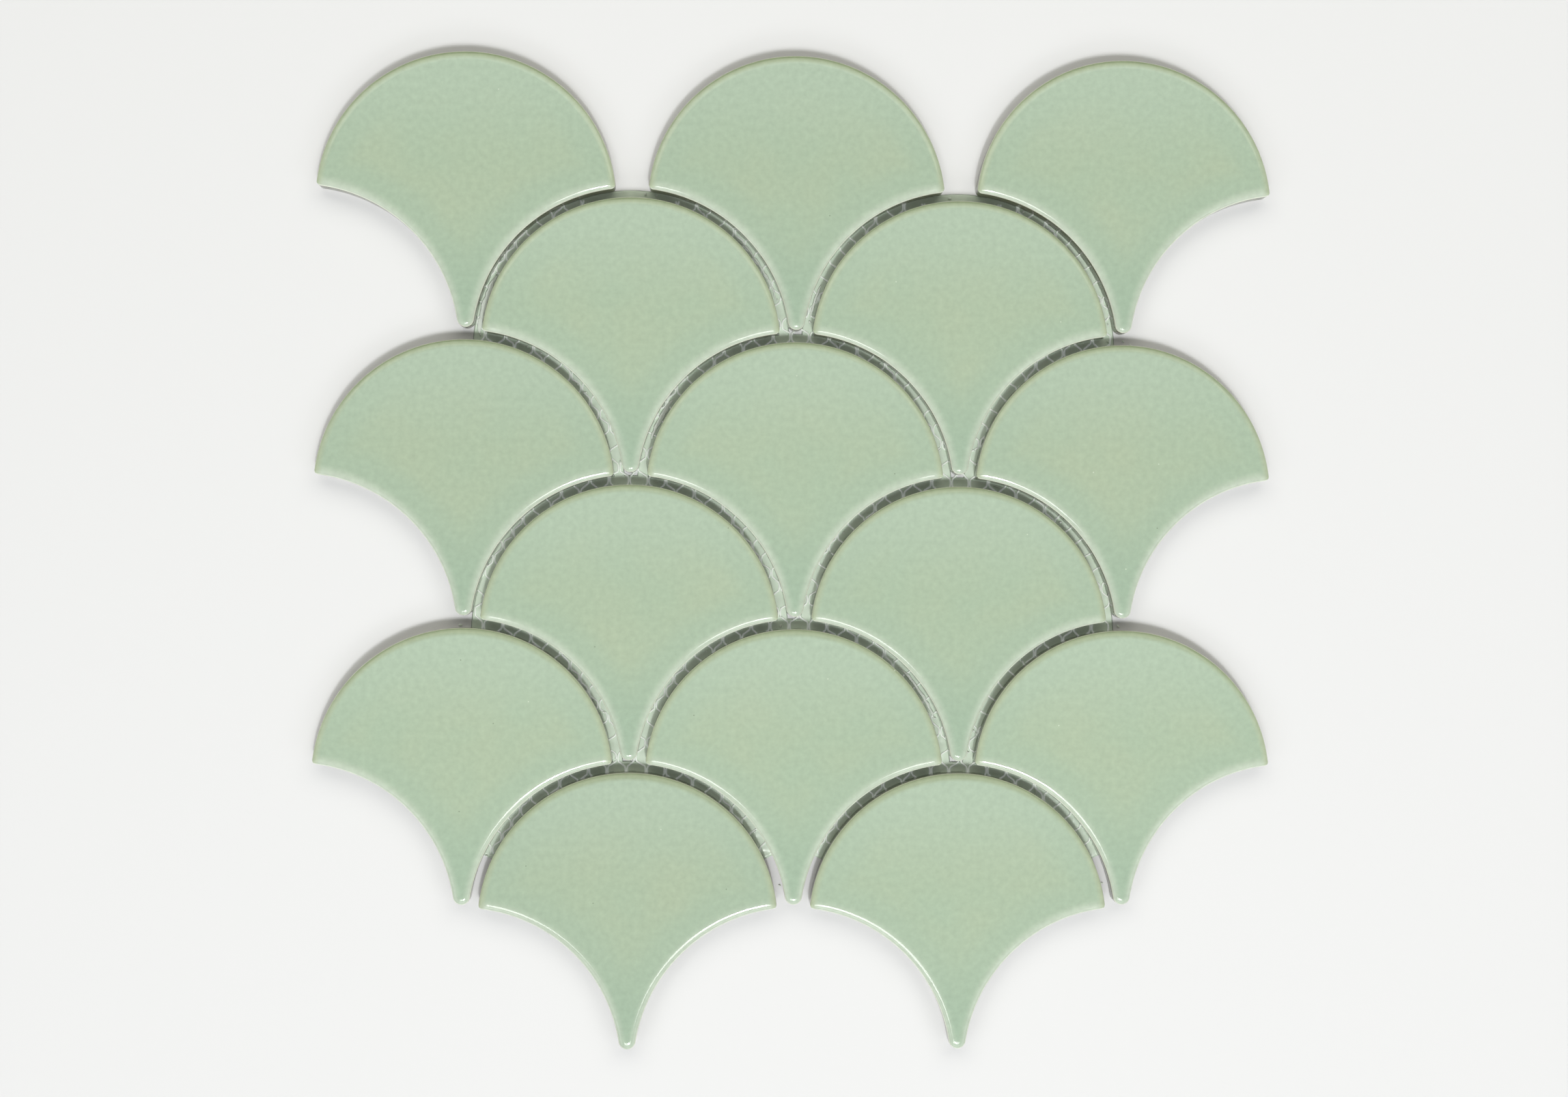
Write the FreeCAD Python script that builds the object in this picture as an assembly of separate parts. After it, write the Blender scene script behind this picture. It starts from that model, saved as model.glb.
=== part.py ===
import FreeCAD, Part
import math
import os
from FreeCAD import Vector

# A mosaic sheet of fifteen glazed fish scale tiles, bonded face up to a knitted mesh backing.
# X runs along the rows, Y from the tails to the round heads, Z up from the underside of the mesh.
# The origin is under the middle of the sheet. Sizes are in millimetres.

# One tile
HEAD_RADIUS = 40.5
WING_RADIUS = 1.3
TAIL_NECK = 3.5
TILE_THICKNESS = 6.0
HEAD_ROLL = 0.7
FLANK_ROLL = 0.9
ROLL_FLATS = 2

# The lay of the sheet: rows of three and of two by turns, with each head in the hollow of the row above
JOINT = 2.5
TAIL_GAP = 3.3
ROW_PITCH = 39.0
ROW_COUNT = 6
LONG_ROW = ("left", "middle", "right")
SHORT_ROW = ("left", "right")

# The mesh: six-sided cells between upright stems and slanting arms, cut well inside the sheet's outline
MESH_THICKNESS = 0.5
CELL_WIDTH = 5.2
STEM_LENGTH = 2.0
ARM_RISE = 1.6
STEM_WIDTH = 0.9
ARM_WIDTH = 0.5
MESH_SIDE_INSET = 42.0
MESH_TOP_INSET = 38.0
MESH_BOTTOM_INSET = 51.0
MESH_BANDS = 10

UP = Vector(0, 0, 1)
HEAD_CENTRE = Vector(0, 0, 0)

# A hollow flank runs round the head of the lower neighbour at the width of the joint
FLANK_RADIUS = HEAD_RADIUS + JOINT
COLUMN_PITCH = 2 * FLANK_RADIUS + TAIL_NECK
FLANK_CENTRE = Vector(COLUMN_PITCH / 2, -ROW_PITCH, 0)

# The tail stops short of the head two rows below and ends in one round that touches both flanks
TAIL_REACH = 2 * ROW_PITCH - HEAD_RADIUS - TAIL_GAP
TAIL_DROP = ROW_PITCH - TAIL_REACH
TAIL_RADIUS = (FLANK_CENTRE.x**2 + TAIL_DROP**2 - FLANK_RADIUS**2) / (2 * (FLANK_RADIUS - TAIL_DROP))
TAIL_CENTRE = Vector(0, TAIL_RADIUS - TAIL_REACH, 0)

# The roll of the flanks goes round the tail too and leaves a strip of flat face along it
HOLLOW_ROLL = min(FLANK_ROLL, 0.9 * TAIL_RADIUS)

SHEET_HEIGHT = (ROW_COUNT - 1) * ROW_PITCH + HEAD_RADIUS + TAIL_REACH
FIRST_ROW_Y = SHEET_HEIGHT / 2 - HEAD_RADIUS


def towards(centre, point, distance):
    """The point at a distance from the centre, on the way to another point."""
    return centre + (point - centre).normalize() * distance


def mirrored(point):
    """The same point on the other side of the tile."""
    return Vector(-point.x, point.y, point.z)


def arc(start, middle, end):
    """A round edge through three points."""
    return Part.Arc(start, middle, end).toShape()


def wing_centre():
    """Centre of the right wing's corner, which touches the head circle inside and the flank circle outside."""
    from_head = HEAD_RADIUS - WING_RADIUS
    from_flank = FLANK_RADIUS + WING_RADIUS
    span = FLANK_CENTRE.Length
    along = (from_head**2 - from_flank**2 + span**2) / (2 * span)
    aside = math.sqrt(from_head**2 - along**2)
    direction = FLANK_CENTRE / span
    return direction * along + UP.cross(direction) * aside


def outline():
    """The fish scale: round head, two wings, two hollow flanks and a narrow round tail."""
    wing = wing_centre()
    head_end = towards(HEAD_CENTRE, wing, HEAD_RADIUS)
    flank_top = towards(FLANK_CENTRE, wing, FLANK_RADIUS)
    flank_foot = towards(FLANK_CENTRE, TAIL_CENTRE, FLANK_RADIUS)
    wing_tip = towards(wing, (head_end + flank_top) / 2, WING_RADIUS)
    flank_middle = towards(FLANK_CENTRE, (flank_top + flank_foot) / 2, FLANK_RADIUS)
    edges = [
        arc(mirrored(head_end), Vector(0, HEAD_RADIUS, 0), head_end),
        arc(head_end, wing_tip, flank_top),
        arc(flank_top, flank_middle, flank_foot),
        arc(flank_foot, Vector(0, -TAIL_REACH, 0), mirrored(flank_foot)),
        arc(mirrored(flank_foot), mirrored(flank_middle), mirrored(flank_top)),
        arc(mirrored(flank_top), mirrored(wing_tip), mirrored(head_end)),
    ]
    return Part.Wire(edges)


def edge_cutter(centre, radius, inward, roll, start, sweep):
    """A turned ring that rolls the top edge over along one round of the outline, in a few flats.

    inward is 1 where the tile lies outside that round and -1 where it lies inside.
    """
    foot = TILE_THICKNESS - roll
    clear = TILE_THICKNESS + roll
    face_edge = radius + inward * roll
    outside = radius - inward * roll
    corners = []
    for step in range(ROLL_FLATS + 1):
        turn = math.radians(90 * step / ROLL_FLATS)
        corners.append(Vector(face_edge - inward * roll * math.cos(turn), 0, foot + roll * math.sin(turn)))
    corners += [Vector(face_edge, 0, clear), Vector(outside, 0, clear), Vector(outside, 0, foot)]
    profile = Part.Face(Part.makePolygon(corners + corners[:1]))
    profile.rotate(Vector(), UP, start)
    ring = profile.revolve(Vector(), UP, sweep)
    ring.translate(centre)
    return ring


def fish_scale_tile():
    """One tile on its flat back: upright walls, a tight roll along the head, a wide one elsewhere, a flat face."""
    wing = wing_centre()
    past_wing = 2 * WING_RADIUS / HEAD_RADIUS
    head_start = math.degrees(math.atan2(wing.y, wing.x) - past_wing)
    seam = FLANK_CENTRE - TAIL_CENTRE
    tail_start = -180 - math.degrees(math.atan2(seam.y, seam.x))
    tile = Part.Face(outline()).extrude(UP * TILE_THICKNESS)
    tile = tile.cut(edge_cutter(HEAD_CENTRE, HEAD_RADIUS, -1, HEAD_ROLL, head_start, 180 - 2 * head_start))
    tile = tile.cut(edge_cutter(TAIL_CENTRE, TAIL_RADIUS, -1, HOLLOW_ROLL, tail_start, -180 - 2 * tail_start))
    for centre in (FLANK_CENTRE, mirrored(FLANK_CENTRE)):
        tile = tile.cut(edge_cutter(centre, FLANK_RADIUS, 1, HOLLOW_ROLL, 0, 360))
    return tile


def tile_places():
    """Each tile's name with the place of its head's centre."""
    for row in range(ROW_COUNT):
        sides = SHORT_ROW if row % 2 else LONG_ROW
        y = FIRST_ROW_Y - row * ROW_PITCH
        for index, side in enumerate(sides):
            x = (index - (len(sides) - 1) / 2) * COLUMN_PITCH
            yield f"tile_row{row + 1}_{side}", Vector(x, y, MESH_THICKNESS)


def polygon(points):
    """A closed flat outline through (x, y) points."""
    corners = [Vector(x, y, 0) for x, y in points]
    return Part.makePolygon(corners + corners[:1])


def cell_hole(x, y):
    """The opening of one mesh cell, inside the strands that it shares with its neighbours."""
    slope = ARM_RISE / (CELL_WIDTH / 2)
    side = (CELL_WIDTH - STEM_WIDTH) / 2
    apex = STEM_LENGTH / 2 + ARM_RISE - ARM_WIDTH / 2 * math.hypot(1, slope)
    shoulder = apex - slope * side
    points = [(0, apex), (side, shoulder), (side, -shoulder), (0, -apex), (-side, -shoulder), (-side, shoulder)]
    return polygon([(x + across, y + along) for across, along in points])


def arm_line(row, cells, side):
    """The zigzag down the middle of the arms above a row of cells (side 1) or below it (side -1)."""
    x, y = row
    points = []
    for step in range(2 * cells - 1):
        reach = STEM_LENGTH / 2 if step % 2 else STEM_LENGTH / 2 + ARM_RISE
        points.append((x + step * CELL_WIDTH / 2, y + side * reach))
    return points


def mesh_band(rows, cells):
    """A band of whole cells, parted from the next band along the middle of the arms.

    rows holds the middle of each row's first cell, from the bottom up.
    """
    stem_ends = (-STEM_LENGTH / 2, STEM_LENGTH / 2)
    near = CELL_WIDTH / 2
    far = (cells - 0.5) * CELL_WIDTH
    left = [(x - near, y + end) for x, y in rows for end in stem_ends]
    right = [(x + far, y + end) for x, y in rows for end in stem_ends]
    bottom = arm_line(rows[0], cells, -1)
    top = arm_line(rows[-1], cells, 1)
    border = polygon(bottom + right + top[::-1] + left[::-1])
    holes = [cell_hole(x + index * CELL_WIDTH, y) for x, y in rows for index in range(cells)]
    return Part.Face([border] + holes).extrude(UP * MESH_THICKNESS)


def mesh_bands():
    """Each band of the mesh backing with its name, from the bottom of the sheet to the top."""
    half_sheet = (len(LONG_ROW) - 1) / 2 * COLUMN_PITCH + wing_centre().x + WING_RADIUS
    row_step = STEM_LENGTH + ARM_RISE
    row_count = int((SHEET_HEIGHT - MESH_TOP_INSET - MESH_BOTTOM_INSET) / row_step)
    cells = int(2 * (half_sheet - MESH_SIDE_INSET) / CELL_WIDTH - 0.5)
    middle = (MESH_BOTTOM_INSET - MESH_TOP_INSET) / 2
    rows = []
    for row in range(row_count):
        stagger = 0.25 if row % 2 else -0.25
        x = (stagger - (cells - 1) / 2) * CELL_WIDTH
        rows.append((x, middle + (row - (row_count - 1) / 2) * row_step))
    for band in range(MESH_BANDS):
        first = band * row_count // MESH_BANDS
        last = (band + 1) * row_count // MESH_BANDS
        yield f"mesh_backing_{band + 1}", mesh_band(rows[first:last], cells)


os.makedirs("parts", exist_ok=True)
tile = fish_scale_tile()
for name, place in tile_places():
    laid = tile.copy()
    laid.translate(place)
    laid.exportStep(f"parts/{name}.step")
for name, band in mesh_bands():
    band.exportStep(f"parts/{name}.step")
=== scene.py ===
# %% [markdown]
# # A mosaic sheet of fish scale tiles
# Fifteen celadon-glazed tiles, each shaped like a fish scale, are glued face up on a knitted mesh, so
# that a tiler lays them all in one go. The solid model already holds each tile and the mesh at their real
# places. This lesson keeps those places and gives the sheet its looks: soft glazed edges, the glaze
# itself, the yarns of the mesh, and the thin films of glue in the joints.

# %% Load the solid model
import math

import bpy
import numpy as np
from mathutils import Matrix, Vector, geometry


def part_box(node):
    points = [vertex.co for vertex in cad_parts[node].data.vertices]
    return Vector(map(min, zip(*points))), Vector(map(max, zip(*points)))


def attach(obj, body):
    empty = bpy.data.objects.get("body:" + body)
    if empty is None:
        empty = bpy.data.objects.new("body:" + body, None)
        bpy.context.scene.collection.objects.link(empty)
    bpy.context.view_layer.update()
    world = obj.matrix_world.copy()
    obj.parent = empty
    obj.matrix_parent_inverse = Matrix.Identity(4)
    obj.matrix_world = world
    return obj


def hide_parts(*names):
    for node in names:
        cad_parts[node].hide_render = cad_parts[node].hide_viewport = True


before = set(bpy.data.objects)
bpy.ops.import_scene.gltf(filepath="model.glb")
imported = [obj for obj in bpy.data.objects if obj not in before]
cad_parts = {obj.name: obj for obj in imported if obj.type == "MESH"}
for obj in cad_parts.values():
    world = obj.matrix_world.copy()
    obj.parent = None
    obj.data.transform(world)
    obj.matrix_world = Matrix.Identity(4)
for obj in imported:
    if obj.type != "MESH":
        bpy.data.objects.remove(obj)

MM = 0.001
scene = bpy.context.scene
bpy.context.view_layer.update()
tile_names = sorted(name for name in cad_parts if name.startswith("tile"))
band_names = [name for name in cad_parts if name.startswith("mesh_backing")]

# %% [markdown]
# ## The camera
# The sheet lies flat and is looked at from almost straight above, from about two sheet lengths away. A
# camera could be aimed with a constraint, but three small turns are easier to read: the view is square to
# the sheet, give or take two degrees.

# %% Place the camera
CAMERA_PLACE_MM = (-25.8, -5.4, 596.1)
CAMERA_TURN_DEG = (0.582, -2.210, 0.304)
LENS_MM = 50.0
SENSOR_MM = 36.0

camera_data = bpy.data.cameras.new("camera")
camera_data.lens = LENS_MM
camera_data.sensor_width = SENSOR_MM
camera = bpy.data.objects.new("camera", camera_data)
camera.location = [value * MM for value in CAMERA_PLACE_MM]
camera.rotation_euler = [math.radians(turn) for turn in CAMERA_TURN_DEG]
scene.collection.objects.link(camera)
scene.camera = camera
scene.view_settings.view_transform = "Standard"
print("camera height above the floor:", CAMERA_PLACE_MM[2], "mm")

# %% [markdown]
# ## Colour and nodes
# Colours are written as the hex values that a paint program shows. Blender's shaders work in linear
# light, so one function turns hex to linear. A second small function adds a node, sets it up and links
# it: a material is then a short list of such calls. Patterns are given in millimetres, and a texture's
# scale is one over that length in metres.

# %% Helpers for materials
def linear(hex_colour):
    """An sRGB hex colour as linear red, green, blue and alpha."""
    channels = [int(hex_colour[i : i + 2], 16) / 255 for i in (1, 3, 5)]
    return [c / 12.92 if c <= 0.04045 else ((c + 0.055) / 1.055) ** 2.4 for c in channels] + [1.0]


def node(tree, kind, links=(), values=(), **settings):
    """Adds a node. links holds (input, output socket of another node), values holds (input, value)."""
    made = tree.nodes.new(kind)
    for name, value in settings.items():
        setattr(made, name, value)
    for name, value in values:
        made.inputs[name].default_value = value
    for name, socket in links:
        tree.links.new(socket, made.inputs[name])
    return made


def new_material(name):
    """A node material with an empty tree, and that tree."""
    material = bpy.data.materials.new(name)
    material.use_nodes = True
    material.node_tree.nodes.clear()
    return material, material.node_tree


def per_metre(millimetres):
    """A texture scale that gives one pattern cell for each length in millimetres."""
    return 1.0 / (millimetres * MM)


print("celadon in linear light:", [round(c, 3) for c in linear("#B4C6AD")])

# %% [markdown]
# ## Light
# The sheet lies in a white room, which the world's even glow stands for. A narrow soft box past the tails
# draws the white streaks near the wings. The broad panel round it shines down along the joints beside the
# flanks, and together they throw the short shadows behind the heads. A low panel makes the flanks glow. A
# wide, faint and slightly warm panel behind the heads fills those shadows, and weak panels at the sides
# fill in the rest. A sun lamp would give hard shadows, so area lamps of real sizes are used.

# %% Set up the light
SKY_STRENGTH = 0.18
# Each lamp: its place and the point it faces, its width and height, all in millimetres, then the brightness
# and the colour of its face
LAMPS = {
    "soft_box": ((105, -761, 1631), (105, 0, 1098), 90, 250, 155.0, "#FFFFFF"),
    "front_panel": ((0, -803, 1611), (0, 0, 1069), 900, 500, 8.6, "#FFFFFF"),
    "low_panel": ((0, -1214, 882), (0, 0, 0), 1100, 450, 1.8, "#FFFFFF"),
    "left_panel": ((-980, -661, 923), (0, 0, 0), 700, 500, 1.2, "#FFFFFF"),
    "right_panel": ((980, -661, 923), (0, 0, 0), 700, 500, 1.2, "#FFFFFF"),
    "back_panel": ((0, 1028, 1226), (0, 0, 0), 2400, 1100, 1.4, "#FFFCEE"),
}

scene.world = bpy.data.worlds.new("studio_walls")
scene.world.use_nodes = True
sky = scene.world.node_tree.nodes["Background"]
sky.inputs["Color"].default_value = linear("#FFFFFF")
sky.inputs["Strength"].default_value = SKY_STRENGTH


def add_lamp(name, place, aim, width, height, brightness, colour):
    """A rectangular lamp, and how brightly it lights a white floor under the middle of the sheet."""
    data = bpy.data.lights.new(name, "AREA")
    data.shape = "RECTANGLE"
    data.size = width * MM
    data.size_y = height * MM
    data.energy = brightness * math.pi * data.size * data.size_y
    data.color = linear(colour)[:3]
    lamp = bpy.data.objects.new(name, data)
    lamp.location = Vector(place) * MM
    facing = (Vector(aim) - Vector(place)).normalized()
    lamp.rotation_euler = facing.to_track_quat("-Z", "Y").to_euler()
    scene.collection.objects.link(lamp)
    to_sheet = -lamp.location
    spread = facing.dot(to_sheet) * -to_sheet.z / to_sheet.length**4
    return brightness * data.size * data.size_y * spread / math.pi


for lamp_name, lamp_values in LAMPS.items():
    print(lamp_name, "lights a white floor to", round(add_lamp(lamp_name, *lamp_values), 2))

# %% [markdown]
# ## The floor
# The sheet lies on a pale matt board, so that its colours and its short shadows read well. Matt paint
# scatters light evenly: high roughness and hardly any shine.

# %% Lay the floor
FLOOR_SIZE_MM = 6000.0

half_floor = FLOOR_SIZE_MM / 2 * MM
floor_mesh = bpy.data.meshes.new("floor")
floor_corners = [(x * half_floor, y * half_floor, 0) for x, y in ((-1, -1), (1, -1), (1, 1), (-1, 1))]
floor_mesh.from_pydata(floor_corners, [], [(0, 1, 2, 3)])
floor = bpy.data.objects.new("floor", floor_mesh)
scene.collection.objects.link(floor)

board, tree = new_material("matt_white_board")
shader = node(tree, "ShaderNodeBsdfPrincipled", values=[
    ("Base Color", linear("#E8E9EA")),
    ("Roughness", 0.9),
    ("Specular IOR Level", 0.1),
])
node(tree, "ShaderNodeOutputMaterial", links=[("Surface", shader.outputs["BSDF"])])
floor_mesh.materials.append(board)
print("floor:", FLOOR_SIZE_MM, "mm wide, of", board.name)

# %% [markdown]
# ## The outline of a fish scale
# A tile's outline is all arcs. The head is one circle. Each flank is a wider circle, round the head of
# the neighbour below at the width of the joint, so that tiles nest. A small round closes each wing corner
# and the tail. Sampling the right half and mirroring it keeps both sides equal.

# %% Sample the outline
HEAD_RADIUS = 40.5
JOINT = 2.5
WING_RADIUS = 1.3
OUTLINE_STEP = 0.8
FEWEST_STEPS = 6
FLANK_RADIUS = HEAD_RADIUS + JOINT


def middle(name):
    """The middle of a node's box, in millimetres."""
    low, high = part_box(name)
    return (low + high) / 2 / MM


tile_low, tile_high = (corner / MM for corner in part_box("tile_row1_middle"))
column_pitch = middle("tile_row1_middle").x - middle("tile_row1_left").x
row_pitch = middle("tile_row1_middle").y - middle("tile_row2_left").y
tail_reach = tile_high.y - tile_low.y - HEAD_RADIUS
flank_centre = np.array([column_pitch / 2, -row_pitch])
tail_drop = row_pitch - tail_reach
tail_radius = (flank_centre[0] ** 2 + tail_drop**2 - FLANK_RADIUS**2) / (2 * (FLANK_RADIUS - tail_drop))
tail_centre = np.array([0, tail_radius - tail_reach])


def wing_centre():
    """Centre of the right wing's corner, inside the head circle and outside the flank circle."""
    from_head = HEAD_RADIUS - WING_RADIUS
    from_flank = FLANK_RADIUS + WING_RADIUS
    span = np.hypot(*flank_centre)
    along = (from_head**2 - from_flank**2 + span**2) / (2 * span)
    aside = math.sqrt(from_head**2 - along**2)
    direction = flank_centre / span
    return direction * along + np.array([-direction[1], direction[0]]) * aside


def angle(start, end):
    """The direction from one point to another."""
    return math.atan2(end[1] - start[1], end[0] - start[0])


def arc(centre, radius, start, end, step, inward):
    """Points on an arc, without the last, each with its normal into the tile."""
    count = max(FEWEST_STEPS, math.ceil(abs(end - start) * radius / step))
    turns = start + (end - start) * np.arange(count) / count
    spokes = np.column_stack([np.cos(turns), np.sin(turns)])
    return np.hstack([centre + radius * spokes, inward * spokes])


def outline(step):
    """Rows of x, y and inward normal round the tile, clockwise from the crown, in millimetres."""
    head = np.zeros(2)
    wing = wing_centre()
    half = np.vstack([
        arc(head, HEAD_RADIUS, math.pi / 2, angle(head, wing), step, -1),
        arc(wing, WING_RADIUS, angle(head, wing), angle(wing, flank_centre), step, -1),
        arc(flank_centre, FLANK_RADIUS, angle(flank_centre, wing), angle(flank_centre, tail_centre), step, 1),
        arc(tail_centre, tail_radius, angle(tail_centre, flank_centre), -math.pi / 2, step, -1),
    ])
    tail_tip = np.array([[0, -tail_reach, 0, 1]])
    mirrored = half[:0:-1] * (-1, 1, -1, 1)
    return np.vstack([half, tail_tip, mirrored])


edge = outline(OUTLINE_STEP)
print(len(edge), "outline points, tail radius", round(tail_radius, 2), "mm")

# %% [markdown]
# ## Points over the face
# Molten glaze draws back from an edge, so the face rolls over close to it and is almost flat elsewhere. A
# grid of equal squares would waste points on the flat part. Rings that follow the outline, dense at the
# edge and wide inside, put them where the light bends, and a Delaunay net joins them up. Two distances
# are worked out for each point: to the head's round, and to the flanks and tail. The second adds up the
# pull of the whole edge, so that it has no crease along the middle of the tail.

# %% Lay out the face
RING_DEPTHS = (0.05, 0.15, 0.3, 0.5, 0.75, 1.05, 1.4, 1.8, 2.25, 2.8, 3.5, 4.4, 5.5, 7.0)
SPARSE_FROM = 2.5
GRID_STEP = 2.4
FINE_STEP = 0.1
BATCHES = 20
# A ring's point stays where the edge is no nearer than this share of the ring's depth, less a small slack
RING_SHARE = 0.98
RING_SLACK = 0.002
# The plain distance holds up to the first of these, and over the length of the second the soft one takes over
SOFT_FROM = 0.2
SOFT_OVER = 0.4
SOFTNESS_POWER = 8
LONGEST_STRIP = 0.15
# What the Delaunay function keeps, 1 for the triangles inside the outline, and how near points are merged
INSIDE_ONLY = 1
MERGE_WITHIN = 1e-6
STRAIGHT_EDGE = math.sqrt(math.pi) * math.gamma((SOFTNESS_POWER - 1) / 2) / math.gamma(SOFTNESS_POWER / 2)

fine_edge = outline(FINE_STEP)[:, :2]
hollow_edge = fine_edge[np.hypot(*fine_edge.T) < HEAD_RADIUS - WING_RADIUS / 2]


def plain_distance(points, border):
    """Each point's distance to the nearest point of a border."""
    distances = []
    for part in np.array_split(points, BATCHES):
        distances.append(np.linalg.norm(part[:, None] - border[None], axis=2).min(axis=1))
    return np.concatenate(distances)


def soft_distance(points, border):
    """A smooth stand-in for that distance, by the pull of all the border's points."""
    strip = np.minimum(np.linalg.norm(border - np.roll(border, 1, axis=0), axis=1), LONGEST_STRIP)
    distances = []
    for part in np.array_split(points, BATCHES):
        gaps = np.linalg.norm(part[:, None] - border[None], axis=2)
        pull = (strip * gaps**-SOFTNESS_POWER).sum(axis=1) / STRAIGHT_EDGE
        distances.append(pull ** (1 / (1 - SOFTNESS_POWER)))
    return np.concatenate(distances)


def inside(points):
    """Whether each point lies within the tile's circles."""
    head = np.hypot(points[:, 0], points[:, 1]) < HEAD_RADIUS
    flank = np.hypot(np.abs(points[:, 0]) - flank_centre[0], points[:, 1] - flank_centre[1]) > FLANK_RADIUS
    return head & flank & (points[:, 1] > -tail_reach)


rings = [edge[:, :2]]
for depth in RING_DEPTHS:
    ring = (edge[:, :2] + depth * edge[:, 2:])[:: 1 if depth < SPARSE_FROM else 2]
    ring = ring[inside(ring)]
    rings.append(ring[plain_distance(ring, fine_edge) > RING_SHARE * depth - RING_SLACK])
columns = np.arange(-HEAD_RADIUS, HEAD_RADIUS, GRID_STEP)
rows = np.arange(-tail_reach, HEAD_RADIUS, GRID_STEP * math.sqrt(0.75))
grid_x, grid_y = np.meshgrid(columns, rows)
grid_x[1::2] += GRID_STEP / 2
grid = np.column_stack([grid_x.ravel(), grid_y.ravel()])
grid = grid[inside(grid)]
rings.append(grid[plain_distance(grid, fine_edge) > RING_DEPTHS[-1] + GRID_STEP / 2])
plan = np.vstack(rings)
head_depth = np.clip(HEAD_RADIUS - np.hypot(*plan.T), 0, None)
hollow_depth = plain_distance(plan, hollow_edge)
settled = np.clip((hollow_depth - SOFT_FROM) / SOFT_OVER, 0, 1)
hollow_depth += settled * (soft_distance(plan, hollow_edge) - hollow_depth)
_, _, corner_sets, sources, _, _ = geometry.delaunay_2d_cdt(
    [Vector(p) for p in plan], [], [list(range(len(edge)))], INSIDE_ONLY, MERGE_WITHIN)
face_triangles = [tuple(sources[i][0] for i in corners) for corners in corner_sets]
print(len(plan), "points and", len(face_triangles), "triangles on each face")

# %% [markdown]
# ## The tiles
# Each tile is pressed from clay, glazed and fired, so no two come out quite alike: the face of each is a
# little uneven. The height of a point follows from its two distances: a gentle roll along the head, a
# tighter one along the flanks and tail, and a faint cushion that dies out over a few millimetres.
# Attributes go with the mesh for the glaze to read: both distances, how far up the tile a point lies, and
# a tone of the tile's own. The back and its small chamfer stay bare, so they get a second material.

# %% Build the tiles
# Each edge: the width and the height of its roll and the height of its cushion
HEAD_EDGE = (2.2, 0.95, 0.1)
HOLLOW_EDGE = (1.6, 0.9, 0.15)
CUSHION_REACH = 2.6
WAVE_HEIGHT = 0.035
WAVE_LENGTHS = (70.0, 48.0, 33.0)
WAVE_FADE = 8.0
FOOT_CHAMFER = 0.25
WALL_LEVELS = (0.35, 0.7)
WALL_DEPTH = -1.0
SHARP_DEG = 40

dice = np.random.default_rng(21)


def edge_drop(depth, width, height, cushion):
    """How far the face lies below its highest level, at a distance from an edge."""
    rolled = np.clip(1 - depth / width, 0, 1)
    return height * (1 - np.sqrt(1 - rolled**2)) + cushion * np.exp(-depth / CUSHION_REACH)


def unevenness(points):
    """Slow waves across one face, which fade out at its edge."""
    height = np.zeros(len(points))
    for length in WAVE_LENGTHS:
        heading = dice.uniform(0, 2 * math.pi)
        phase = dice.uniform(0, 2 * math.pi)
        along = points @ np.array([math.cos(heading), math.sin(heading)])
        height += WAVE_HEIGHT * (np.sin(2 * math.pi * along / length + phase) - 1)
    return height * np.clip(np.minimum(head_depth, hollow_depth) / WAVE_FADE, 0, 1) / len(WAVE_LENGTHS)


def add_attribute(mesh, name, values):
    """A number for each point of the mesh, which a material can read."""
    attribute = mesh.attributes.new(name, "FLOAT", "POINT")
    attribute.data.foreach_set("value", np.asarray(values, dtype=np.float32))


def tile_shape(low, high):
    """Points and faces of a tile in its box: the face, the walls, the chamfer and last the back."""
    centre = np.array([(low.x + high.x) / 2, high.y - HEAD_RADIUS])
    count = len(edge)
    drop = np.hypot(edge_drop(head_depth, *HEAD_EDGE), edge_drop(hollow_depth, *HOLLOW_EDGE))
    top = high.z - drop + unevenness(plan)
    foot_level = low.z + FOOT_CHAMFER
    points = [np.column_stack([plan + centre, top])]
    for share in (*WALL_LEVELS, 1.0):
        level = top[:count] + (foot_level - top[:count]) * share
        points.append(np.column_stack([edge[:, :2] + centre, level]))
    foot = edge[:, :2] + FOOT_CHAMFER * edge[:, 2:] + centre
    points.append(np.column_stack([foot, np.full(count, low.z)]))
    starts = [0] + [len(plan) + count * i for i in range(len(points) - 1)]
    faces = list(face_triangles)
    for upper, lower in zip(starts, starts[1:]):
        for i in range(count):
            j = (i + 1) % count
            faces.append((upper + i, upper + j, lower + j, lower + i))
    faces.append(tuple(starts[-1] + i for i in range(count)))
    return np.vstack(points), faces


def make_tile(name):
    """A glazed tile in place of the solid of that name, with its chamfer and back left bare."""
    low, high = (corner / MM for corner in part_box(name))
    points, faces = tile_shape(low, high)
    bare = len(edge) + 1
    mesh = bpy.data.meshes.new(name + "_glazed")
    mesh.from_pydata((points * MM).tolist(), [], faces)
    mesh.polygons.foreach_set("material_index", [0] * (len(faces) - bare) + [1] * bare)
    mesh.polygons.foreach_set("use_smooth", [True] * len(faces))
    mesh.set_sharp_from_angle(angle=math.radians(SHARP_DEG))
    below = len(mesh.vertices) - len(plan)
    add_attribute(mesh, "head_depth_mm", np.concatenate([head_depth, np.full(below, WALL_DEPTH)]))
    add_attribute(mesh, "hollow_depth_mm", np.concatenate([hollow_depth, np.full(below, WALL_DEPTH)]))
    add_attribute(mesh, "up_tile_mm", np.concatenate([plan[:, 1], np.zeros(below)]))
    add_attribute(mesh, "tile_tone", np.full(len(mesh.vertices), dice.uniform(-1, 1)))
    tile = bpy.data.objects.new(name + "_glazed", mesh)
    scene.collection.objects.link(tile)
    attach(tile, "root")
    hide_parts(name)
    return tile


tiles = [make_tile(name) for name in tile_names]
print(len(tiles), "tiles of", len(tiles[0].data.polygons), "faces")

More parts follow.
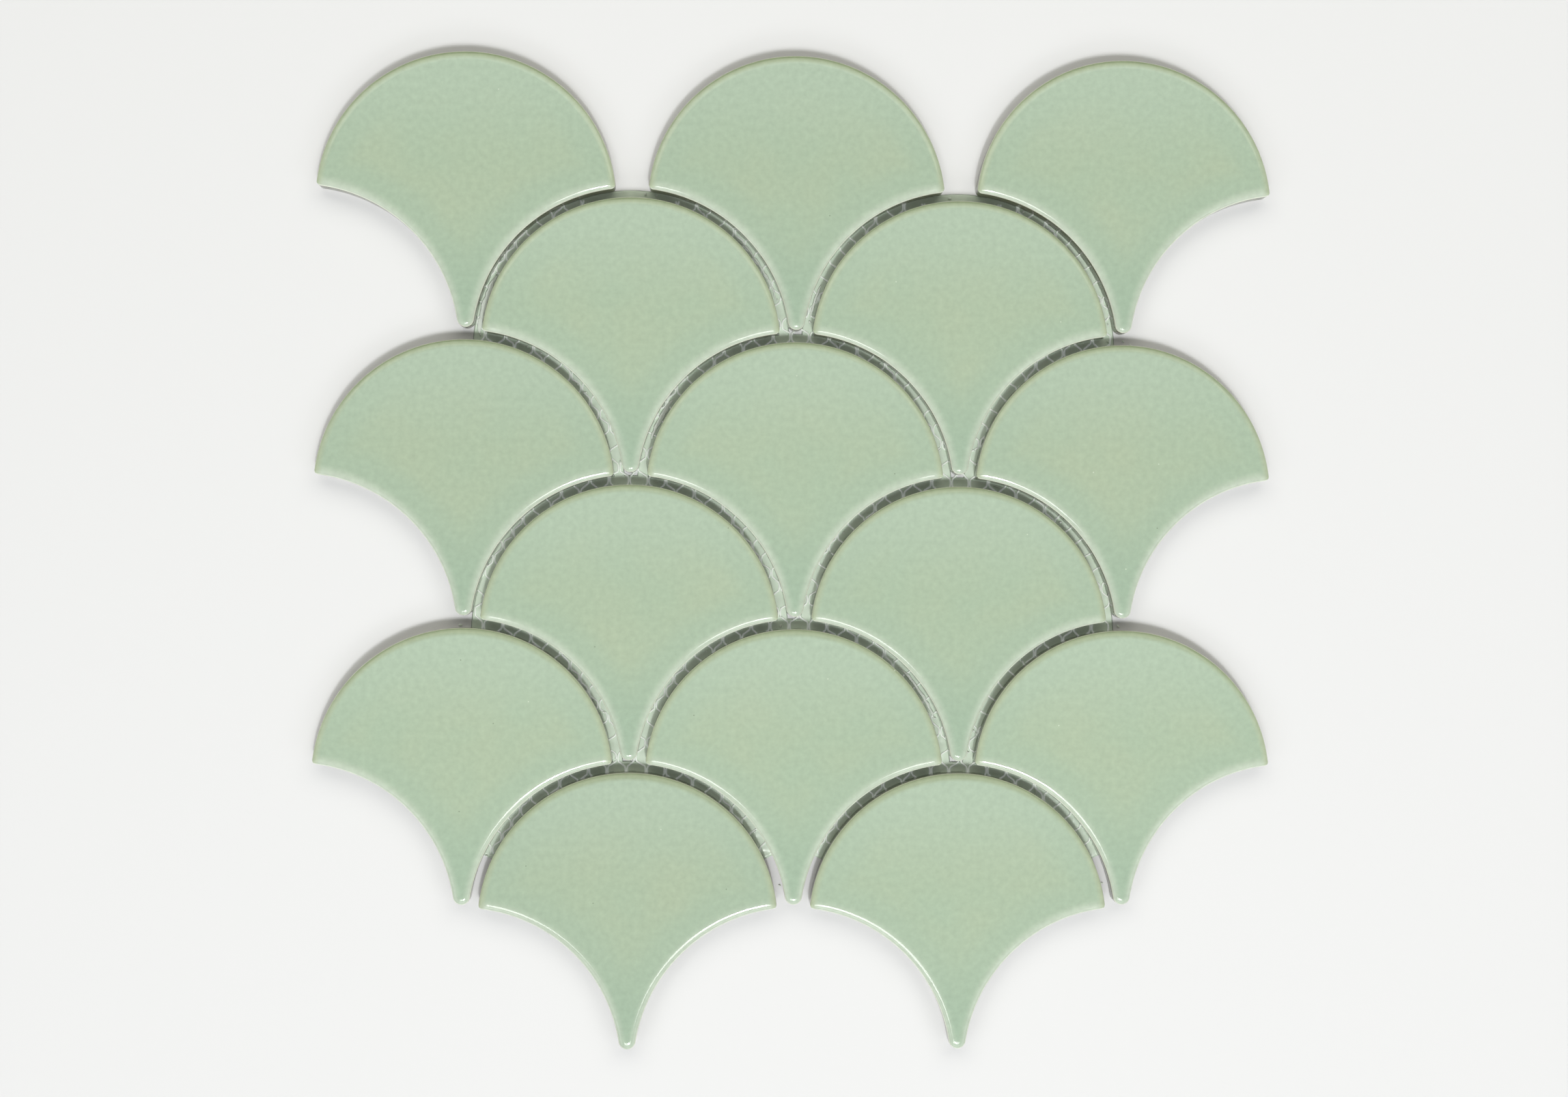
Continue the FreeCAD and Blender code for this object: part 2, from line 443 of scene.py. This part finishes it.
# %% [markdown]
# ## Celadon glaze
# Celadon is a clear glaze with a little iron, fired so that it turns a soft grey green over a white body.
# It is as smooth as glass (IOR about 1.5, roughness near 0.1). Where it pools it is bluer and deeper.
# Where it runs thin over the flanks' edge the pale body shows through. The pale band along the flanks,
# which fades towards the tail, is partly that and partly a painted glow of the lamps past the tails. The
# olive along the crown's edge and down the walls is partly the glaze's iron and partly painted shade: that
# edge faces away from the lamps, and the darker walls deepen the shade of the joints. The face is also
# painted a little paler towards the crown, a painted reflection, and darker towards the tail. So the colour
# is laid on in layers, each one fading in along one of the distances that the tile carries. Slow clouds,
# fine mottling and the tile's own tone keep it from being flat, and here and there the glaze has a pinhole
# or an iron speck.

# %% Mix the glaze
# How fast the crown's olive and painted shade and the flanks' pale rim and painted glow fade down the
# tile, in mm of depth for each mm
CROWN_FADE = 0.06
RIM_FADE = 0.022
CLOUD_MM = 18.0
MOTTLE_MM = 1.6
MOTTLE_RANGE = (0.87, 1.13)
TONE_SHARE = 0.02
ROUGHNESS_RANGE = (0.06, 0.11)
PEEL_MM = 2.5
PEEL_DEPTH_MM = 0.004
SPECK_CELL_MM = 9.0
SPECK_RADIUS_MM = 0.24
SPECK_CORE = 0.4
SPECK_CHANCE = 0.025

glaze, tree = new_material("celadon_glazed_porcelain")
head = node(tree, "ShaderNodeAttribute", attribute_name="head_depth_mm").outputs["Fac"]
hollow = node(tree, "ShaderNodeAttribute", attribute_name="hollow_depth_mm").outputs["Fac"]
upward = node(tree, "ShaderNodeAttribute", attribute_name="up_tile_mm").outputs["Fac"]
tone = node(tree, "ShaderNodeAttribute", attribute_name="tile_tone").outputs["Fac"]
nearest = node(tree, "ShaderNodeMath", [(0, head), (1, hollow)], operation="MINIMUM").outputs[0]
crown = node(tree, "ShaderNodeMath", [(0, upward), (2, head)], [(1, -CROWN_FADE)],
             operation="MULTIPLY_ADD").outputs[0]
rim = node(tree, "ShaderNodeMath", [(0, upward), (2, hollow)], [(1, -RIM_FADE)],
           operation="MULTIPLY_ADD").outputs[0]
place = node(tree, "ShaderNodeTexCoord").outputs["Object"]
clouds = node(tree, "ShaderNodeTexNoise", [("Vector", place)],
              [("Scale", per_metre(CLOUD_MM)), ("Detail", 2.0)])

# Each layer: the distance it follows, where it starts and where it is full, in millimetres, and its colour
GLAZE_LAYERS = (
    (nearest, 12.0, 4.5, "#ABBFA8"),
    # Paler towards the crown: a painted reflection
    (upward, 8.0, 38.0, "#B2C5B0"),
    # Darker towards the tail
    (upward, -6.0, -28.0, "#A5BBA5"),
    # Pale band along the flanks, fading towards the tail: partly thin glaze, partly a painted glow
    (rim, 3.2, 0.2, "#C4D1BF"),
    (head, 2.4, 0.2, "#B6C3A6"),
    # Olive along the crown's edge: partly the glaze's iron, partly painted shade
    (crown, 0.2, -2.2, "#97A684"),
    (hollow, 0.35, 0.1, "#E0E7D6"),
    (head, 0.3, 0.1, "#C8D0B6"),
    # Dark olive walls: partly the glaze's olive, partly painted shade that darkens the joints
    (nearest, -0.1, -0.4, "#66684E"),
)
colour = node(tree, "ShaderNodeMix", [(0, clouds.outputs["Fac"])],
              [(6, linear("#B3C1A6")), (7, linear("#A9BFA8"))], data_type="RGBA").outputs[2]
for distance, start, full, layer_colour in GLAZE_LAYERS:
    share = node(tree, "ShaderNodeMapRange", [("Value", distance)], [("From Min", start), ("From Max", full)],
                 interpolation_type="SMOOTHSTEP")
    colour = node(tree, "ShaderNodeMix", [(0, share.outputs[0]), (6, colour)], [(7, linear(layer_colour))],
                  data_type="RGBA").outputs[2]

# One cell in forty has an iron speck and one in forty a pinhole, each where its cell's point lies
cells = node(tree, "ShaderNodeTexVoronoi", [("Vector", place)], [("Scale", per_metre(SPECK_CELL_MM))],
             voronoi_dimensions="2D")
chance = node(tree, "ShaderNodeSeparateColor", [("Color", cells.outputs["Color"])]).outputs["Red"]
spot = node(tree, "ShaderNodeMapRange", [("Value", cells.outputs["Distance"])],
            [("From Min", SPECK_RADIUS_MM / SPECK_CELL_MM),
             ("From Max", SPECK_CORE * SPECK_RADIUS_MM / SPECK_CELL_MM)])
SPECKS = (
    ("GREATER_THAN", 1 - SPECK_CHANCE, "#8C9B86"),
    ("LESS_THAN", SPECK_CHANCE, "#CFDBCA"),
)
for operation, limit, speck_colour in SPECKS:
    chosen = node(tree, "ShaderNodeMath", [(0, chance)], [(1, limit)], operation=operation)
    share = node(tree, "ShaderNodeMath", [(0, chosen.outputs[0]), (1, spot.outputs[0])], operation="MULTIPLY")
    colour = node(tree, "ShaderNodeMix", [(0, share.outputs[0]), (6, colour)], [(7, linear(speck_colour))],
                  data_type="RGBA").outputs[2]

mottle = node(tree, "ShaderNodeTexNoise", [("Vector", place)],
              [("Scale", per_metre(MOTTLE_MM)), ("Detail", 3.0)])
value = node(tree, "ShaderNodeMapRange", [("Value", mottle.outputs["Fac"])],
             [("To Min", MOTTLE_RANGE[0]), ("To Max", MOTTLE_RANGE[1])])
value = node(tree, "ShaderNodeMath", [(0, tone), (2, value.outputs[0])], [(1, TONE_SHARE)],
             operation="MULTIPLY_ADD")
colour = node(tree, "ShaderNodeHueSaturation", [("Color", colour), ("Value", value.outputs[0])]).outputs[0]
sheen = node(tree, "ShaderNodeMapRange", [("Value", clouds.outputs["Fac"])],
             [("To Min", ROUGHNESS_RANGE[0]), ("To Max", ROUGHNESS_RANGE[1])])
peel = node(tree, "ShaderNodeTexNoise", [("Vector", place)], [("Scale", per_metre(PEEL_MM))])
bump = node(tree, "ShaderNodeBump", [("Height", peel.outputs["Fac"])], [("Distance", PEEL_DEPTH_MM * MM)])
shader = node(tree, "ShaderNodeBsdfPrincipled",
              [("Base Color", colour), ("Roughness", sheen.outputs[0]), ("Normal", bump.outputs[0])],
              [("IOR", 1.52)])
node(tree, "ShaderNodeOutputMaterial", [("Surface", shader.outputs["BSDF"])])
print("glaze nodes:", len(tree.nodes))

# %% [markdown]
# ## Bare back
# The back of a tile stands on the kiln shelf, so it gets no glaze: the bare fired body is off-white, dry
# and dull, with fine grains in it.

# %% Mix the bare body
GRAIN_MM = 0.6

biscuit, tree = new_material("bare_fired_porcelain_body")
place = node(tree, "ShaderNodeTexCoord").outputs["Object"]
grains = node(tree, "ShaderNodeTexNoise", [("Vector", place)],
              [("Scale", per_metre(GRAIN_MM)), ("Detail", 3.0)])
colour = node(tree, "ShaderNodeMix", [(0, grains.outputs["Fac"])],
              [(6, linear("#DCD6C8")), (7, linear("#EEEAE0"))], data_type="RGBA")
shader = node(tree, "ShaderNodeBsdfPrincipled", [("Base Color", colour.outputs[2])], [("Roughness", 0.85)])
node(tree, "ShaderNodeOutputMaterial", [("Surface", shader.outputs["BSDF"])])
for tile in tiles:
    for material in (glaze, biscuit):
        tile.data.materials.append(material)
print("materials on each tile:", [material.name for material in tiles[0].data.materials])

# %% [markdown]
# ## Flat tubes
# The strands of the mesh and the squeezed-out glue have one form in common: a flat tube along a path,
# thicker here and thinner there. Blender's curves with a bevel could make them too, but points and faces
# worked out as arrays are quick for thousands of turns, and many tubes join into one mesh.

# %% Helpers for tubes
def tube(path, half_width, half_height, sides):
    """Points and faces of a closed tube along a nearly level path, with one size or one for each point."""
    along = np.gradient(path[:, :2], axis=0)
    along /= np.linalg.norm(along, axis=1)[:, None]
    sideways = np.column_stack([-along[:, 1], along[:, 0], np.zeros(len(path))])
    turns = 2 * math.pi * np.arange(sides) / sides
    across = np.broadcast_to(half_width, len(path))[:, None] * np.cos(turns)
    upward = np.broadcast_to(half_height, len(path))[:, None] * np.sin(turns)
    points = path[:, None] + across[:, :, None] * sideways[:, None] + upward[:, :, None] * np.array([0, 0, 1])
    start = sides * np.arange(len(path) - 1)[:, None]
    side = np.arange(sides)[None]
    after = (side + 1) % sides
    quads = np.stack([start + side, start + after, start + sides + after, start + sides + side], axis=2)
    caps = [tuple(range(sides))[::-1], tuple(range((len(path) - 1) * sides, len(path) * sides))]
    return points.reshape(-1, 3), [tuple(quad) for quad in quads.reshape(-1, 4).tolist()] + caps


def joined(name, pieces):
    """One object of the sheet from several pieces, each given as points in millimetres and faces."""
    starts = np.cumsum([0] + [len(points) for points, faces in pieces])
    points = np.vstack([points for points, faces in pieces])
    faces = [tuple(start + i for i in face) for start, (_, faces) in zip(starts, pieces) for face in faces]
    mesh = bpy.data.meshes.new(name)
    mesh.from_pydata((points * MM).tolist(), [], faces)
    mesh.polygons.foreach_set("use_smooth", [True] * len(faces))
    made = bpy.data.objects.new(name, mesh)
    scene.collection.objects.link(made)
    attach(made, "root")
    return made


three_points = np.array([[0, 0, 0], [1, 0, 0], [2, 0, 0]], dtype=float)
print("a short square tube has", len(tube(three_points, 0.5, 0.5, 4)[1]), "faces")

# %% [markdown]
# ## The knitted mesh
# The backing is a warp-knitted net of white yarn, stiffened with resin. Each yarn climbs in a zigzag: up
# a stem beside its partner, along a slanting arm to the next column, up that stem with another partner,
# and back. Knitting it that way, one tube for each yarn, gives the double strands of the stems and the
# single strands of the arms by itself.

# %% Knit the mesh
CELL_WIDTH = 5.2
STEM_LENGTH = 2.0
ARM_RISE = 1.6
YARN_HALF_WIDTH = 0.27
YARN_SIDES = 5
SWAY = 0.12
# A strand along one stem: how far up and aside from its middle each point lies, and half its height there
STRAND_POINTS = (
    (-1.15, 0.44, 0.17),
    (-0.6, 0.28, 0.22),
    (0.0, 0.24, 0.24),
    (0.6, 0.28, 0.22),
    (1.15, 0.44, 0.17),
)

band_boxes = [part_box(name) for name in band_names]
net_low = np.min([low for low, high in band_boxes], axis=0) / MM
net_high = np.max([high for low, high in band_boxes], axis=0) / MM
net_size = (net_high - net_low)[:2]
row_step = STEM_LENGTH + ARM_RISE
row_count = round((net_size[1] - ARM_RISE) / row_step)
stem_count = round(net_size[0] / CELL_WIDTH + 0.5)
sway = dice.normal(0, SWAY, (row_count, stem_count, 2))


def yarn(stem, side):
    """The path of the yarn that starts on a stem and swings to one side on every second row."""
    points = []
    for row in range(row_count):
        away = row % 2
        x = net_low[0] + CELL_WIDTH * (stem + side * away / 2)
        y = net_low[1] + ARM_RISE + STEM_LENGTH / 2 + row * row_step
        shift = sway[row, stem - 1 if away and side < 0 else stem]
        lean = -side if away else side
        for rise, aside, half_height in STRAND_POINTS:
            points.append((x + lean * aside + shift[0], y + rise + shift[1], net_low[2] + half_height))
    path = np.array(points)
    path[:, :2] = np.clip(path[:, :2], net_low[:2] + YARN_HALF_WIDTH, net_high[:2] - YARN_HALF_WIDTH)
    return path


yarn_paths = [yarn(stem, 1) for stem in range(stem_count)] + [yarn(stem, -1) for stem in range(1, stem_count)]
yarn_heights = np.tile([half_height for _, _, half_height in STRAND_POINTS], row_count)
net = joined("knitted_net", [tube(path, YARN_HALF_WIDTH, yarn_heights, YARN_SIDES) for path in yarn_paths])
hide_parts(*band_names)

# %% [markdown]
# ## Resin-coated yarn
# The yarn is white polyester dipped in resin: fibres wound together, with a clear coat (IOR about 1.5)
# that glints in the joints. White yarn often holds an optical brightener, but the weak bluish emission
# here is painted light: a glow that lifts the strands out of the shade of a deep joint. Fine noise along
# them stands for the fibres and for uneven resin.

# %% Mix the yarn
FIBRE_MM = 0.5
FIBRE_DEPTH_MM = 0.03
# Strength of the painted glow on the strands
PAINTED_GLOW = 0.1

yarn_white, tree = new_material("resin_coated_polyester_yarn")
place = node(tree, "ShaderNodeTexCoord").outputs["Object"]
fibres = node(tree, "ShaderNodeTexNoise", [("Vector", place)],
              [("Scale", per_metre(FIBRE_MM)), ("Detail", 3.0)])
colour = node(tree, "ShaderNodeMix", [(0, fibres.outputs["Fac"])],
              [(6, linear("#ECF6E8")), (7, linear("#F8FFF5"))], data_type="RGBA")
bump = node(tree, "ShaderNodeBump", [("Height", fibres.outputs["Fac"])], [("Distance", FIBRE_DEPTH_MM * MM)])
shader = node(tree, "ShaderNodeBsdfPrincipled",
              [("Base Color", colour.outputs[2]), ("Normal", bump.outputs[0])],
              [("Roughness", 0.3), ("IOR", 1.55), ("Emission Color", linear("#F4F8FF")),
               ("Emission Strength", PAINTED_GLOW)])
node(tree, "ShaderNodeOutputMaterial", [("Surface", shader.outputs["BSDF"])])
net.data.materials.append(yarn_white)
print("fibre noise:", FIBRE_MM, "mm")

# %% [markdown]
# ## Glue in the joints
# The tiles are stuck to the net with a milky glue. In a few joints it has squeezed up into crinkled
# ribbons, and small beads of it sit on the strands elsewhere. A ribbon is a flat tube round part of a
# head, with a width and a path that wander, and a bead is the same tube, short and pointed at both ends.

# %% Squeeze out the glue
# Each ribbon: the tile whose head it runs round, its start and end in degrees from +X, and half its width
GLUE_RIBBONS = (
    ("tile_row2_left", 18, 48, 0.35),
    ("tile_row2_left", 152, 175, 0.85),
    ("tile_row2_right", 155, 168, 0.4),
    ("tile_row3_middle", 143, 160, 0.75),
    ("tile_row5_middle", 22, 46, 0.5),
)
# Where a joint runs round a head, in degrees from +X: the outer tiles of a long row have it on one side only
JOINT_REACH_DEG = {"left": (-4, 98), "right": (82, 184), "middle": (-4, 184)}
# How far a ribbon strays, rises and swells along its way, and how near to a point its ends run
RIBBON_STRAY = 0.2
RIBBON_RISE = 0.06
RIBBON_SWELL = 0.25
RIBBON_END = 0.05
STEPS_PER_KNOT = 3
# Beads: how far off the joint's middle they lie, and the least and most of half their length and half width
BEAD_COUNT = 70
BEAD_STRAY = 0.7
BEAD_HALF_LENGTHS = (0.3, 0.55)
BEAD_HALF_WIDTHS = (0.15, 0.3)
BEAD_POINTS = 7
BEAD_BLUNTNESS = 0.04
GLUE_STEP = 0.35
GLUE_LEVEL = 0.45
GLUE_HALF_HEIGHT = 0.13
GLUE_SIDES = 8

joint_middle = HEAD_RADIUS + JOINT / 2
nested_tiles = [name for name in tile_names if "_row1_" not in name]


def joint_reach(name):
    """Start and end of the joint round a tile's head."""
    _, row, side = name.split("_")
    in_short_row = int(row[-1]) % 2 == 0
    return JOINT_REACH_DEG["middle" if in_short_row else side]


def wander(count, knots):
    """Smooth random numbers from -1 to 1, with a number of turning points."""
    return np.interp(np.linspace(0, 1, count), np.linspace(0, 1, knots), dice.uniform(-1, 1, knots))


def round_head(name, degrees, radius):
    """Points round the head of a tile, at the level of the glue."""
    low, high = (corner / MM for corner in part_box(name))
    turns = np.radians(degrees)
    x = (low.x + high.x) / 2 + radius * np.cos(turns)
    y = high.y - HEAD_RADIUS + radius * np.sin(turns)
    return np.column_stack([x, y, np.full(len(turns), GLUE_LEVEL)])


def ribbon(name, start, end, half_width):
    """A crinkled ribbon of glue along a joint."""
    count = math.ceil(math.radians(end - start) * joint_middle / GLUE_STEP)
    knots = count // STEPS_PER_KNOT
    radius = joint_middle + RIBBON_STRAY * wander(count, knots)
    path = round_head(name, np.linspace(start, end, count), radius)
    path[:, 2] += RIBBON_RISE * wander(count, knots)
    taper = np.sqrt(np.sin(np.linspace(RIBBON_END, math.pi - RIBBON_END, count)))
    swell = 1 + RIBBON_SWELL * wander(count, knots)
    return tube(path, half_width * taper * swell, GLUE_HALF_HEIGHT, GLUE_SIDES)


def bead(name):
    """A small bead of glue somewhere in the joint over a tile's head."""
    radius = joint_middle + dice.uniform(-BEAD_STRAY, BEAD_STRAY, 1)
    centre = round_head(name, dice.uniform(*joint_reach(name), 1), radius)
    heading = dice.uniform(0, math.pi)
    along = np.linspace(-1, 1, BEAD_POINTS)
    steps = along * dice.uniform(*BEAD_HALF_LENGTHS)
    path = centre + np.outer(steps, [math.cos(heading), math.sin(heading), 0])
    taper = np.sqrt(1 + BEAD_BLUNTNESS - along**2)
    return tube(path, taper * dice.uniform(*BEAD_HALF_WIDTHS), taper * GLUE_HALF_HEIGHT, GLUE_SIDES)


beads = [bead(dice.choice(nested_tiles)) for _ in range(BEAD_COUNT)]
glue = joined("glue_in_joints", [ribbon(*values) for values in GLUE_RIBBONS] + beads)
print(len(GLUE_RIBBONS), "ribbons and", len(beads), "beads of glue,", len(glue.data.polygons), "faces")

# %% [markdown]
# ## Milky glue
# Dried wood-type glue is white and glossy where it is thick (IOR about 1.47), and it shrinks as it dries.
# Bump by a fine noise gives its skin those crinkles, which would take very many faces as geometry.

# %% Mix the milky glue
CRINKLE_MM = 0.7
CRINKLE_DEPTH_MM = 0.12

milky, tree = new_material("dried_milky_glue")
place = node(tree, "ShaderNodeTexCoord").outputs["Object"]
crinkles = node(tree, "ShaderNodeTexNoise", [("Vector", place)],
                [("Scale", per_metre(CRINKLE_MM)), ("Detail", 2.0)])
bump = node(tree, "ShaderNodeBump", [("Height", crinkles.outputs["Fac"])],
            [("Distance", CRINKLE_DEPTH_MM * MM)])
shader = node(tree, "ShaderNodeBsdfPrincipled", [("Normal", bump.outputs[0])],
              [("Base Color", linear("#ECF5EA")), ("Roughness", 0.15), ("IOR", 1.47)])
node(tree, "ShaderNodeOutputMaterial", [("Surface", shader.outputs["BSDF"])])
glue.data.materials.append(milky)
print("crinkles in the glue:", CRINKLE_MM, "mm")

# %% [markdown]
# ## The film between the tiles
# Between the tiles a thin skin of the same glue has dried across the openings of the net and closes the
# floor of each joint, as far as the net reaches. It is a very flat tube round each nested head, and a
# slow noise gives it the shallow puddles that catch the light. Its colour, greener than the milky glue,
# is partly painted shade: it stands for the green-tinged shade deep in the joints.

# %% Spread the film
FILM_HALF_WIDTH = 1.5
FILM_HALF_HEIGHT = 0.05
PUDDLE_MM = 3.0
PUDDLE_DEPTH_MM = 0.3


def film(name):
    """A thin film of glue along the floor of a joint, as far as the net reaches."""
    path = round_head(name, np.arange(*joint_reach(name)), joint_middle)
    path = path[np.all((path > net_low) & (path < net_high), axis=1)]
    path[:, 2] = net_low[2] + FILM_HALF_HEIGHT
    return tube(path, FILM_HALF_WIDTH, FILM_HALF_HEIGHT, GLUE_SIDES)


film_with_painted_shade = joined("glue_film_and_painted_shade", [film(name) for name in nested_tiles])
# The film's material: its greener colour is partly painted shade of the deep joints
clear, tree = new_material("thin_glue_film_and_painted_shade")
place = node(tree, "ShaderNodeTexCoord").outputs["Object"]
puddles = node(tree, "ShaderNodeTexNoise", [("Vector", place)],
               [("Scale", per_metre(PUDDLE_MM)), ("Detail", 1.0)])
colour = node(tree, "ShaderNodeMix", [(0, puddles.outputs["Fac"])],
              [(6, linear("#D8EAD4")), (7, linear("#E8F6E6"))], data_type="RGBA")
bump = node(tree, "ShaderNodeBump", [("Height", puddles.outputs["Fac"])],
            [("Distance", PUDDLE_DEPTH_MM * MM)])
shader = node(tree, "ShaderNodeBsdfPrincipled",
              [("Base Color", colour.outputs[2]), ("Normal", bump.outputs[0])],
              [("Roughness", 0.2), ("IOR", 1.47)])
node(tree, "ShaderNodeOutputMaterial", [("Surface", shader.outputs["BSDF"])])
film_with_painted_shade.data.materials.append(clear)
print("film round", len(nested_tiles), "heads,", len(film_with_painted_shade.data.polygons), "faces")
